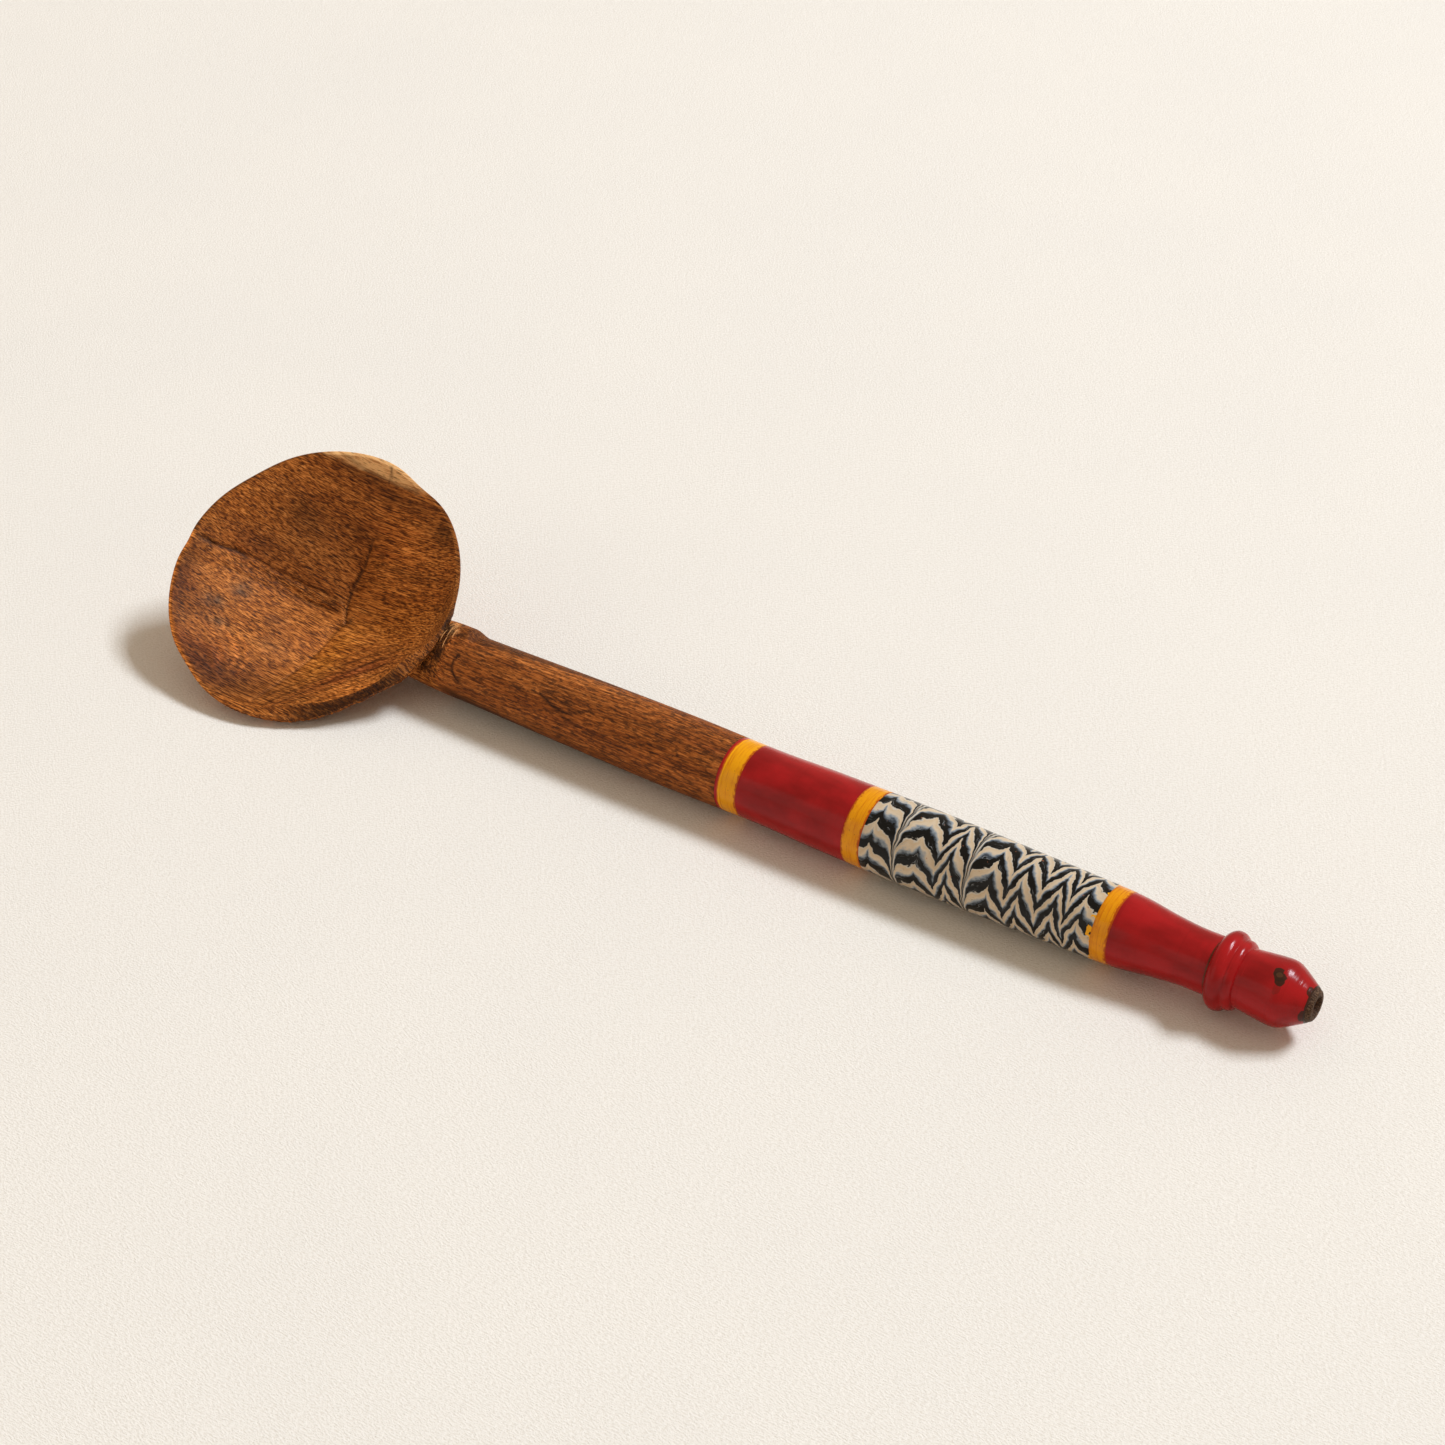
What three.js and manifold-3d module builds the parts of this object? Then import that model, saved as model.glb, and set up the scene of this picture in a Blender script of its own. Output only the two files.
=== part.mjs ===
// A serving ladle cut from one billet of hardwood: a hand-carved bowl and neck, and a handle turned in the
// lathe and coated with coloured lac. Lengths are in millimetres.
//
// The spoon is drawn along its own axes: X runs from the neck to the tip on the lathe axis, Z is up out of
// the bowl and Y is across. It is then rolled over onto the carved flank of its bowl, as it lies on a table.

import * as THREE from 'three';
import { mergeVertices } from 'three/addons/utils/BufferGeometryUtils.js';
import Module from 'manifold-3d';

const wasm = await Module();
wasm.setup();

// Driving dimensions: bowl
const BOWL_RADIUS = 40.4; // outside of the rim
const BOWL_CENTRE = [-37.5, 0, 16.9]; // middle of the rim, from the neck
const BOWL_PITCH = 8.3; // degrees that the mouth leans towards the handle
const BOWL_DEPTH = 19.2; // from the rim to the deepest point
const DEEPEST_SHIFT = 3; // from the rim's middle towards the handle
const RIM_WALL = 1.7; // thickness of the rim
const RIM_BAND = 2.8; // height of the upright band under the rim
const KEEL_DEPTH = 27.3; // from the rim to the underside of the keel
const HOLLOW_POWER = 1.55; // 1 is a cone, 2 is a dish
const UNDERSIDE_POWER = 1.4;
const FACET_SWELL = 0.13; // how far the four cuts of the hollow depart from a round dish

// The four valleys where the cuts of the hollow meet, as angles about the rim's middle
const VALLEYS = [5, 90, 179, 271];

// Places where the rim is pared flat: angle, depths from its outside and inside, and half-width in degrees
const RIM_FLATS = [
  { at: 73, outside: 1.3, inside: 1.3, width: 11 },
  { at: 147, outside: 0.8, inside: 0.8, width: 13 },
  { at: 185, outside: 0.5, inside: 0.5, width: 5 },
  { at: 241, outside: 0.6, inside: 0.6, width: 10 },
  { at: 292, outside: 0, inside: 4, width: 19 },
  { at: 322, outside: 2.6, inside: 3.8, width: 21 },
  { at: 346, outside: 0, inside: 2.8, width: 13 },
];

// Driving dimensions: turned handle, as stations of distance from the neck and radius
const HANDLE_STATIONS = [
  [-30, 4.4],
  [-14, 7.7],
  [0, 8.8],
  [12, 8.95],
  [47, 9.55],
  [77, 9.78],
  [103, 9.54],
  [120, 9.95],
  [148, 10.13],
  [172, 9.85],
  [200, 9.33],
  [206.5, 8.9],
  [213.5, 7.95],
  [220.5, 7.32],
  [226, 7.3],
  [234.5, 7.33],
  [239, 7.83],
  [243.6, 8.23],
  [245.6, 8.0],
  [252.4, 3.7],
];
const TIP = 252.4;
const CORE_START = -26; // where the neck is lost in the bowl's wall
const BEAD = { centre: 230.4, halfWidth: 4, height: 2.2 };
const NECK = { end: 9.5, shoulder: 3, growth: 1.03, squareness: 3, rise: 0.6 };
const CENTRE_HOLE = { radius: 1.5, depth: 7 };

// Lac coats from the neck to the tip
const LAC_THICKNESS = 0.8;
const CLEARANCE = 0.3; // between a coat and the wood, and between neighbouring coats
const LAC_END = 250.7;
const COATS = [
  { name: 'lac_line_red', from: 92.6, to: 94.3, color: 0xa8321f, roughness: 0.35 },
  { name: 'lac_ring_yellow_neck', from: 94.3, to: 99.1, color: 0xe39a0c, roughness: 0.3 },
  { name: 'lac_band_red', from: 99.1, to: 130.4, color: 0x971c1f, roughness: 0.28 },
  { name: 'lac_ring_yellow_middle', from: 130.4, to: 135.6, color: 0xe39a0c, roughness: 0.3 },
  { name: 'lac_band_combed', from: 135.6, to: 198.7, color: 0xcdbfa8, roughness: 0.32 },
  { name: 'lac_ring_yellow_end', from: 198.7, to: 203, color: 0xe39a0c, roughness: 0.3 },
  { name: 'lac_finial_red', from: 203, to: LAC_END, color: 0x971c1f, roughness: 0.25 },
];

// Resting pose
const ROLL = 31.4; // degrees that the spoon is rolled onto its flank
const AXIS_HEIGHT = 10.13; // the thickest part of the handle touches the table

// Fineness of the faceting
const RING_SPACING = [
  { until: 204, step: 10 },
  { until: 226, step: 4.4 },
  { until: 235, step: 0.9 },
  { until: TIP, step: 1.8 },
];
const BOWL_SIDES = 72;
const HANDLE_SIDES = 32;
const CUT_MARGIN = 14; // how far a cutting solid reaches past the wood

const radians = THREE.MathUtils.degToRad;

// ---- Solids and booleans ----

function solidOf(geometry) {
  const bare = geometry.clone();
  bare.deleteAttribute('normal');
  bare.deleteAttribute('uv');
  const merged = mergeVertices(bare, 1e-4);
  const vertProperties = new Float32Array(merged.attributes.position.array);
  const triVerts = new Uint32Array(merged.index.array);
  return new wasm.Manifold(new wasm.Mesh({ numProp: 3, vertProperties, triVerts }));
}

function geometryOf(solid) {
  const mesh = solid.getMesh();
  const geometry = new THREE.BufferGeometry();
  geometry.setAttribute('position', new THREE.BufferAttribute(mesh.vertProperties, 3));
  geometry.setIndex(new THREE.BufferAttribute(mesh.triVerts, 1));
  geometry.computeVertexNormals();
  return geometry;
}

// A profile of [distance along X, radius] turned about the X axis, with a flat of its outline facing the table.
function turned(profile) {
  const points = profile.map(([x, radius]) => new THREE.Vector2(radius, x));
  const lathe = new THREE.LatheGeometry(points, HANDLE_SIDES).rotateZ(-Math.PI / 2);
  return lathe.rotateX(Math.PI / HANDLE_SIDES - radians(ROLL));
}

function mapVertices(geometry, change) {
  const position = geometry.attributes.position;
  const point = new THREE.Vector3();
  for (let i = 0; i < position.count; i += 1) {
    point.fromBufferAttribute(position, i);
    change(point);
    position.setXYZ(i, point.x, point.y, point.z);
  }
  return geometry;
}

// ---- Turned handle ----

const stationX = HANDLE_STATIONS.map(([x]) => x);
const stationRadius = HANDLE_STATIONS.map(([, radius]) => radius);
const handleCurve = new THREE.CubicInterpolant(stationX, stationRadius, 1, new Float32Array(1));

function handleRadius(x) {
  const fromBead = (x - BEAD.centre) / BEAD.halfWidth;
  const bead = BEAD.height * Math.sqrt(Math.max(0, 1 - fromBead * fromBead));
  return handleCurve.evaluate(x)[0] + bead;
}

// Rings along the handle, far apart on the plain barrel and close together on the finial. Wood and lac share
// them, so that the two surfaces stay parallel.
function ringPositions() {
  const rings = [];
  let x = CORE_START;
  RING_SPACING.forEach(({ until, step }) => {
    for (; x < until; x += step) {
      rings.push(x);
    }
  });
  return rings;
}

const allRings = ringPositions();

function stepsBetween(from, to) {
  const nearest = 0.4;
  const between = allRings.filter((x) => x > from + nearest && x < to - nearest);
  return [from, ...between, to];
}

function surfaceProfile(from, to, inset) {
  return stepsBetween(from, to).map((x) => [x, handleRadius(x) - inset]);
}

// The neck is left squared and a little proud of the turned handle, and ends in a cut shoulder.
function squareNeck(point) {
  if (point.x > NECK.end + NECK.shoulder) {
    return;
  }
  const share = THREE.MathUtils.clamp((NECK.end + NECK.shoulder - point.x) / NECK.shoulder, 0, 1);
  const angle = Math.atan2(point.z, point.y);
  const power = NECK.squareness;
  const spread = Math.abs(Math.cos(angle)) ** power + Math.abs(Math.sin(angle)) ** power;
  const growth = THREE.MathUtils.lerp(1, NECK.growth / spread ** (1 / power), share);
  point.y = point.y * growth;
  point.z = point.z * growth + share * NECK.rise;
}

function handleCoreGeometry() {
  const coatStart = COATS[0].from;
  const rebate = LAC_THICKNESS + CLEARANCE;
  const profile = [
    [CORE_START, 0],
    ...surfaceProfile(CORE_START, NECK.end, 0),
    ...surfaceProfile(NECK.end + NECK.shoulder, coatStart, 0),
    ...surfaceProfile(coatStart, LAC_END + CLEARANCE, rebate),
    ...surfaceProfile(LAC_END + CLEARANCE, TIP, 0),
    [TIP, 0],
  ];
  return mapVertices(turned(profile), squareNeck);
}

function centreHoleGeometry() {
  const length = CENTRE_HOLE.depth + CUT_MARGIN;
  const hole = new THREE.CylinderGeometry(CENTRE_HOLE.radius, CENTRE_HOLE.radius, length, 20);
  hole.rotateZ(Math.PI / 2);
  return hole.translate(TIP - CENTRE_HOLE.depth + length / 2, 0, 0);
}

function coatGeometry({ from, to }) {
  const start = from + CLEARANCE / 2;
  const end = to === LAC_END ? to : to - CLEARANCE / 2;
  const outside = surfaceProfile(start, end, 0);
  const inside = surfaceProfile(start, end, LAC_THICKNESS).reverse();
  return turned([...outside, ...inside, outside[0]]);
}

// ---- Carved bowl ----

// 0 in a valley of the hollow and 1 in the middle of a cut
function cutSwell(angle) {
  const turn = THREE.MathUtils.euclideanModulo(angle, 360);
  const before = VALLEYS.findLastIndex((valley) => valley <= turn);
  const start = before < 0 ? VALLEYS[VALLEYS.length - 1] - 360 : VALLEYS[before];
  const end = before === VALLEYS.length - 1 ? VALLEYS[0] + 360 : VALLEYS[before + 1];
  return Math.sin(Math.PI * ((turn - start) / (end - start)));
}

// How far the rim is pared at this angle, on the side 'outside' or 'inside'
function rimPared(angle, side) {
  return RIM_FLATS.reduce((sum, flat) => {
    const away = THREE.MathUtils.euclideanModulo(angle - flat.at + 180, 360) - 180;
    return sum + flat[side] * Math.exp(-((away / flat.width) ** 2));
  }, 0);
}

// A round solid about the bowl's own axis, from [radius, height] points, with its outline pared as that side
// of the rim is. Below the rim, swell shapes it by the four cuts and shift moves its deepest point towards
// the handle.
function carved(profile, { side, swell, shift }) {
  const points = profile.map(([radius, height]) => new THREE.Vector2(radius, height));
  const lathe = new THREE.LatheGeometry(points, BOWL_SIDES).rotateX(Math.PI / 2);
  mapVertices(lathe, (point) => {
    const radius = Math.hypot(point.x, point.y);
    const angle = THREE.MathUtils.radToDeg(Math.atan2(point.y, point.x));
    const reach = radius / BOWL_RADIUS;
    const pared = 1 - (rimPared(angle, side) * reach ** 2) / BOWL_RADIUS;
    if (point.z < 0) {
      const bulge = swell * 4 * reach * Math.max(0, 1 - reach);
      point.z += bulge * BOWL_DEPTH * (cutSwell(angle) - 0.5);
    }
    const shifted = point.z < 0 ? shift * (1 - reach) : 0;
    point.x = point.x * pared + shifted;
    point.y *= pared;
  });
  lathe.rotateY(radians(BOWL_PITCH));
  return lathe.translate(...BOWL_CENTRE);
}

function curvePoints(depth, lip, radius, power, count) {
  return Array.from({ length: count + 1 }, (_, i) => {
    const reach = i / count;
    return [radius * reach, -depth + (depth - lip) * reach ** power];
  });
}

function bowlGeometry() {
  const underside = curvePoints(KEEL_DEPTH, RIM_BAND, BOWL_RADIUS - 0.6, UNDERSIDE_POWER, 8);
  const profile = [...underside, [BOWL_RADIUS, 0], [0, 0]];
  return carved(profile, { side: 'outside', swell: 0, shift: 0 });
}

function hollowGeometry() {
  const inside = BOWL_RADIUS - RIM_WALL;
  const surface = curvePoints(BOWL_DEPTH, 0, inside, HOLLOW_POWER, 10);
  const profile = [...surface, [inside + 1, CUT_MARGIN], [0, CUT_MARGIN]];
  return carved(profile, { side: 'inside', swell: FACET_SWELL, shift: DEEPEST_SHIFT });
}

// Everything below the table, in the spoon's own axes
function belowTableGeometry() {
  const thickness = 40;
  const slab = new THREE.BoxGeometry(2 * TIP, 200, thickness);
  slab.translate(0, 0, -AXIS_HEIGHT - thickness / 2);
  return slab.rotateX(-radians(ROLL));
}

function woodenBodyGeometry() {
  const billet = solidOf(bowlGeometry()).add(solidOf(handleCoreGeometry()));
  const hollowed = billet.subtract(solidOf(hollowGeometry()));
  const bored = hollowed.subtract(solidOf(centreHoleGeometry()));
  return geometryOf(bored.subtract(solidOf(belowTableGeometry())));
}

// ---- Assembly ----

function addPart(parent, name, geometry, color, roughness) {
  const material = new THREE.MeshStandardMaterial({ color, roughness, metalness: 0 });
  const mesh = new THREE.Mesh(geometry, material);
  mesh.name = name;
  parent.add(mesh);
}

const spoon = new THREE.Group();
addPart(spoon, 'wooden_body', woodenBodyGeometry(), 0x7a4220, 0.6);
COATS.forEach((coat) => {
  addPart(spoon, coat.name, coatGeometry(coat), coat.color, coat.roughness);
});
spoon.rotation.x = radians(ROLL);
spoon.position.z = AXIS_HEIGHT;

// The origin is on the table, under the middle of the spoon's box.
const group = new THREE.Group();
group.add(spoon);
group.updateMatrixWorld(true);
const middle = new THREE.Box3().setFromObject(group, true).getCenter(new THREE.Vector3());
group.position.set(-middle.x, -middle.y, 0);

export default group;
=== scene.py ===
"""Looks for a lac-turned wooden ladle: a hand-carved bowl and neck, a turned handle coated with bands of
coloured lac, one of them combed, and a red beaded finial.

Shapes are worked out in millimetres along the spoon's own axes (X from the neck to the tip on the lathe
axis, Z up out of the bowl, Y across) and turned into the frame's metres as each mesh is made.
"""

import itertools
import math

import bpy
import numpy as np
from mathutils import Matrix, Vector


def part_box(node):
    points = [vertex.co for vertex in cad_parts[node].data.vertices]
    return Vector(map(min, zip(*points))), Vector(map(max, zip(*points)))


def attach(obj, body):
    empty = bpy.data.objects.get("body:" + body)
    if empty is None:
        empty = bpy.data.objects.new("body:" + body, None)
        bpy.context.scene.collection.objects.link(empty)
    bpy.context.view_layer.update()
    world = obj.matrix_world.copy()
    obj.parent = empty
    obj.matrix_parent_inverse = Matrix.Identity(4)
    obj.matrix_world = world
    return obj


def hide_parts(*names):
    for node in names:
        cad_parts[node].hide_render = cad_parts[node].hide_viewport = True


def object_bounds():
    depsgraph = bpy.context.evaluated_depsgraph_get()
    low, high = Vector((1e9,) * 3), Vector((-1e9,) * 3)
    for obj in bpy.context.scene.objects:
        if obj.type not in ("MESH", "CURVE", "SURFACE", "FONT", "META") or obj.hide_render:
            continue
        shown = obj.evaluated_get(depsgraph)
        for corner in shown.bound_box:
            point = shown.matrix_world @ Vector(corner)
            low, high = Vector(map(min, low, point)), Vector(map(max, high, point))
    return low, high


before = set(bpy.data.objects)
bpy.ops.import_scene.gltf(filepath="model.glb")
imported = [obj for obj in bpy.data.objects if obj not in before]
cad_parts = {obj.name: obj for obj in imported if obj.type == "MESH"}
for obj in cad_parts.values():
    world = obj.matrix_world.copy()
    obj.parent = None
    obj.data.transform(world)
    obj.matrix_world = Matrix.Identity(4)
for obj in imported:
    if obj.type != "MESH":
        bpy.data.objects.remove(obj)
cad_low, cad_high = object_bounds()

MM = 0.001
TAU = 2 * math.pi

# ---- Driving dimensions, in millimetres ----

LENGTH_FROM_NECK = 252.4
ROLL = math.radians(31.4)  # the spoon lies rolled over onto the flank of its bowl

BOWL_RADIUS = 40.4
BOWL_CENTRE = (-37.5, 0.0, 16.9)
BOWL_PITCH = math.radians(8.3)
BOWL_DEPTH = 19.2
DEEPEST_SHIFT = 3.0
RIM_WALL = 1.1
RIM_BAND = 2.8
RIM_EDGE = 0.3  # radius of the rim's outer edge
RIM_UNDERCUT = 0.6  # how far the rim's band leans in towards its bottom
KEEL_DEPTH = 27.3
HOLLOW_POWER = 1.55
UNDERSIDE_POWER = 1.4
FACET_SWELL = 0.13

# Valleys between the cuts of the hollow: degrees about the rim's middle, and how rounded each one is deep
# down and by the rim
VALLEYS = (
    (5, 0.3, 0.5),
    (90, 0.02, 0.5),
    (179, 0.03, 0.08),
    (271, 0.08, 0.35),
)

# Places where the rim is pared flat: angle, depths from its outside and inside, and half-width in degrees
RIM_FLATS = (
    (73, 1.3, 1.3, 11),
    (147, 0.8, 0.8, 13),
    (185, 0.5, 0.5, 5),
    (241, 0.6, 0.6, 10),
    (292, 0.0, 4.0, 19),
    (322, 2.6, 3.8, 21),
    (346, 0.0, 2.8, 13),
)
# Where the rim is worn down to its outside: angle, depth and half-width in degrees
LIP_DROP = (322, 2.1, 38)
LIP_INWARDS = 0.45  # how far that wear goes inwards for each millimetre down

# The turned handle: distance from the neck and radius
HANDLE_STATIONS = (
    (-30, 4.4),
    (-14, 7.7),
    (0, 8.8),
    (12, 8.95),
    (47, 9.55),
    (77, 9.78),
    (103, 9.54),
    (120, 9.95),
    (148, 10.13),
    (172, 9.85),
    (200, 9.33),
    (206.5, 8.9),
    (213.5, 7.95),
    (220.5, 7.32),
    (226, 7.3),
    (234.5, 7.33),
    (239, 7.83),
    (243.4, 8.2),
    (245.4, 7.9),
    (248, 6.5),
    (252.4, 3.7),
)
CORE_START = -26.0
# The round bead and the low collar beside it: middle, half of its length, and height above the handle
BEADS = ((229.9, 2.45, 2.5), (232.6, 1.7, 1.3))
BEADS_START, BEADS_END = 226, 236  # the coat over them has finer rings between these
NECK_END, NECK_SHOULDER = 7.2, 3.4
NECK_GROWTH, NECK_SQUARENESS, NECK_RISE = 1.03, 3.0, 0.6
FINIAL_COAT_END = 251.3
CENTRE_HOLE = ((-7, 0.9), (-2.2, 1.4), (-0.5, 2.3), (0, 2.6), (2, 3.0))  # distance past the tip, and radius
LAC_THICKNESS = 0.8
HANDLE_FROM = 4.0  # the wood's colours are the bowl's before this and the handle's past it

# Coats of lac from the neck to the tip
LAC_NODES = (
    "lac_line_red",
    "lac_ring_yellow_neck",
    "lac_band_red",
    "lac_ring_yellow_middle",
    "lac_band_combed",
    "lac_ring_yellow_end",
    "lac_finial_red",
)

# ---- Places, from the frame ----

finial_low, finial_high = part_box("lac_finial_red")
NECK = Vector(
    (
        cad_high.x - LENGTH_FROM_NECK * MM,
        (finial_low.y + finial_high.y) / 2,
        (finial_low.z + finial_high.z) / 2,
    )
)


def along_handle(node):
    """Where a CAD node starts and ends, in millimetres from the neck."""
    low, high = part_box(node)
    return (low.x - NECK.x) / MM, (high.x - NECK.x) / MM


def turned(first, second, angle):
    """Two coordinates turned from the first axis towards the second."""
    cos, sin = math.cos(angle), math.sin(angle)
    return first * cos - second * sin, first * sin + second * cos


def to_row(points):
    """Spoon millimetres to the frame's metres."""
    x, y, z = points.T
    return np.column_stack([x, *turned(y, z, ROLL)]) * MM + np.array(NECK)


def from_row(points):
    """The frame's metres to spoon millimetres."""
    x, across, up = ((points - np.array(NECK)) / MM).T
    return np.column_stack([x, *turned(across, up, -ROLL)])


def bowl_to_spoon(points):
    """From the bowl's own axes, level with its rim, to the spoon's."""
    x, y, z = points.T
    x, z = turned(x, z, -BOWL_PITCH)
    return np.column_stack([x, y, z]) + np.array(BOWL_CENTRE)


def spoon_to_bowl(points):
    x, y, z = (points - np.array(BOWL_CENTRE)).T
    x, z = turned(x, z, BOWL_PITCH)
    return np.column_stack([x, y, z])


def polar(points):
    """Distance from the first two axes' origin, and degrees round it."""
    x, y = points[:, 0], points[:, 1]
    return np.hypot(x, y), np.degrees(np.arctan2(y, x))


def from_polar(radius, degrees):
    turn = np.radians(degrees)
    return radius * np.cos(turn), radius * np.sin(turn)


# ---- Noise and small helpers ----


def smoothstep(low, high, value):
    share = np.clip((value - low) / (high - low), 0, 1)
    return share * share * (3 - 2 * share)


def lattice(cell, seed):
    """A repeatable number from -1 to 1 for each integer point."""
    n = cell[:, 0] * 73856093 ^ cell[:, 1] * 19349663 ^ cell[:, 2] * 83492791 ^ seed * 2654435
    n = (n ^ (n >> 13)) * 1274126177 & 0x7FFFFFFF
    n = (n ^ (n >> 15)) * 668265263 & 0x7FFFFFFF
    return n / 0x3FFFFFFF - 1


def noise(points, size, seed):
    """Smooth noise from -1 to 1, with features about size across: one number, or one for each axis."""
    scaled = points / np.asarray(size, float) + 1000
    cell = np.floor(scaled).astype(np.int64)
    share = scaled - cell
    share = share * share * (3 - 2 * share)
    total = np.zeros(len(points))
    for corner in itertools.product((0, 1), repeat=3):
        weight = np.prod(np.where(corner, share, 1 - share), axis=1)
        total += weight * lattice(cell + corner, seed)
    return total


def layered(points, size, seed, layers=3):
    """Noise with finer and weaker layers on top."""
    size = np.asarray(size, float)
    parts = [noise(points, size / 2**k, seed + k) / 2**k for k in range(layers)]
    return sum(parts) / 1.5


def near_path(points, path, width):
    """1 on a path of 2-D points, falling to 0 about width away."""
    best = np.full(len(points), np.inf)
    for start, end in itertools.pairwise(np.asarray(path, float)):
        step = end - start
        share = np.clip(((points - start) @ step) / (step @ step), 0, 1)
        gap = np.linalg.norm(points - start - share[:, None] * step, axis=1)
        best = np.minimum(best, gap)
    return np.exp(-((best / width) ** 2))


def blob(points, centre, radii):
    """1 at centre, falling to 0 about radii away."""
    away = (points - np.asarray(centre)) / np.asarray(radii)
    return np.exp(-np.sum(away**2, axis=1))


# ---- Meshes ----


def in_scene(name, data):
    """An object of that data, linked into the scene."""
    made = bpy.data.objects.new(name, data)
    bpy.context.scene.collection.objects.link(made)
    return made


def new_object(name, points, faces):
    """A mesh object from spoon millimetres."""
    mesh = bpy.data.meshes.new(name)
    mesh.from_pydata(to_row(points).tolist(), [], faces)
    mesh.validate()
    return in_scene(name, mesh)


def grid_faces(rings, sides, closed=False):
    """Quads between rings of points, all facing out for rings that run from the neck to the tip."""
    faces = []
    for ring in range(rings if closed else rings - 1):
        here, after = ring * sides, (ring + 1) % rings * sides
        for side in range(sides):
            other = (side + 1) % sides
            faces.append((here + side, here + other, after + other, after + side))
    return faces


def closed_solid(name, rings):
    """A solid from rings of points, shape (rings, sides, 3), with a fan over each end."""
    count, sides = rings.shape[:2]
    points = np.vstack([rings.reshape(-1, 3), rings[0].mean(0), rings[-1].mean(0)])
    faces = grid_faces(count, sides)
    first, last = count * sides, count * sides + 1
    top = (count - 1) * sides
    for side in range(sides):
        other = (side + 1) % sides
        faces.append((first, other, side))
        faces.append((last, top + side, top + other))
    return new_object(name, points, faces)


def combine(target, tool, operation):
    """Joins tool to target, or cuts it away, and removes tool."""
    modifier = target.modifiers.new("combine", "BOOLEAN")
    modifier.operation = operation
    modifier.solver = "MANIFOLD"
    modifier.object = tool
    bpy.context.view_layer.update()
    shape = target.evaluated_get(bpy.context.evaluated_depsgraph_get())
    mesh = bpy.data.meshes.new_from_object(shape)
    target.modifiers.clear()
    target.data = mesh
    bpy.data.objects.remove(tool)


def mesh_points(made):
    count = len(made.data.vertices)
    points = np.empty(count * 3)
    made.data.vertices.foreach_get("co", points)
    return from_row(points.reshape(-1, 3))


def bowl_normals(made):
    """Which way each vertex faces, in the bowl's axes."""
    count = len(made.data.vertices)
    facing = np.empty(count * 3)
    made.data.vertex_normals.foreach_get("vector", facing)
    ahead = from_row(facing.reshape(-1, 3) * MM + np.array(NECK))
    return spoon_to_bowl(ahead + np.array(BOWL_CENTRE))


def store(made, name, values):
    """A number for each vertex, for a material to read."""
    layer = made.data.attributes.new(name, "FLOAT", "POINT")
    layer.data.foreach_set("value", np.clip(values, 0, 1).astype(np.float32))


def finish_surface(made, sharp_degrees):
    made.data.polygons.foreach_set("use_smooth", [True] * len(made.data.polygons))
    made.data.set_sharp_from_angle(angle=math.radians(sharp_degrees))


def take_place(made, node, material):
    made.data.materials.clear()
    made.data.materials.append(material)
    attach(made, "root")
    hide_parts(node)


# ---- Turned handle ----

station_x, station_radius = np.array(HANDLE_STATIONS, float).T


def slopes(x, y):
    """Slopes of a smooth curve through the stations."""
    middle = (y[2:] - y[:-2]) / (x[2:] - x[:-2])
    return np.concatenate([[(y[1] - y[0]) / (x[1] - x[0])], middle, [(y[-1] - y[-2]) / (x[-1] - x[-2])]])


station_slope = slopes(station_x, station_radius)


def handle_radius(x):
    x = np.asarray(x, float)
    i = np.clip(np.searchsorted(station_x, x) - 1, 0, len(station_x) - 2)
    step = station_x[i + 1] - station_x[i]
    t = (x - station_x[i]) / step
    start = (1 + 2 * t) * (1 - t) ** 2 * station_radius[i] + t * (1 - t) ** 2 * step * station_slope[i]
    end = t * t * (3 - 2 * t) * station_radius[i + 1] + t * t * (t - 1) * step * station_slope[i + 1]
    beads = [
        height * np.sqrt(np.clip(1 - ((x - middle) / half) ** 2, 0, 1)) for middle, half, height in BEADS
    ]
    return start + end + np.max(beads, axis=0)


def turned_rings(x, radius, sides):
    """Rings of points about the lathe axis, running the way that makes grid_faces face out."""
    angle = np.linspace(0, TAU, sides, endpoint=False)
    rings = np.empty((len(x), sides, 3))
    rings[..., 0] = np.asarray(x)[:, None]
    rings[..., 1] = np.outer(radius, np.cos(angle))
    rings[..., 2] = np.outer(radius, np.sin(angle))
    return rings


def degrees_round(points):
    """The way round the lathe axis for spoon points, in degrees from straight up towards the near side."""
    across, up = turned(points[:, 1], points[:, 2], ROLL)
    return np.degrees(np.arctan2(-across, up))


def neck_share(points):
    """1 on the top of the neck, which is carved and not turned, and 0 past its shoulder."""
    round_axis = degrees_round(points)
    top = smoothstep(30, -12, round_axis) * smoothstep(-140, -100, round_axis)
    shoulder = NECK_END + NECK_SHOULDER + 0.6 * noise(points, (9, 2.5, 2.5), 21)
    return top * smoothstep(0, 1, (shoulder - points[:, 0]) / NECK_SHOULDER)


def square_neck(points):
    """Leaves the top of the neck squared and a little proud of the handle, down to a cut shoulder."""
    flat = points.reshape(-1, 3)
    share = neck_share(flat)
    angle = np.arctan2(flat[:, 2], flat[:, 1])
    spread = np.abs(np.cos(angle)) ** NECK_SQUARENESS + np.abs(np.sin(angle)) ** NECK_SQUARENESS
    growth = 1 + share * (NECK_GROWTH / spread ** (1 / NECK_SQUARENESS) - 1)
    growth += 0.015 * share * noise(flat, (3.5, 1.6, 1.6), 22)
    flat[:, 1] *= growth
    flat[:, 2] = flat[:, 2] * growth + share * NECK_RISE
    return flat.reshape(points.shape)


WOOD_SIDES = 128
BARE_STEP = 0.5  # between rings of the bare handle
HIDDEN_STEP = 4.0  # between rings under the straight coats
LAC_SIDES = 192
LAC_STEP = 0.5
BEAD_STEP = 0.15
TAPER_FROM = 200.0  # past here the core under the coats has closer rings
TAPER_STEP = 0.8


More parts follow.
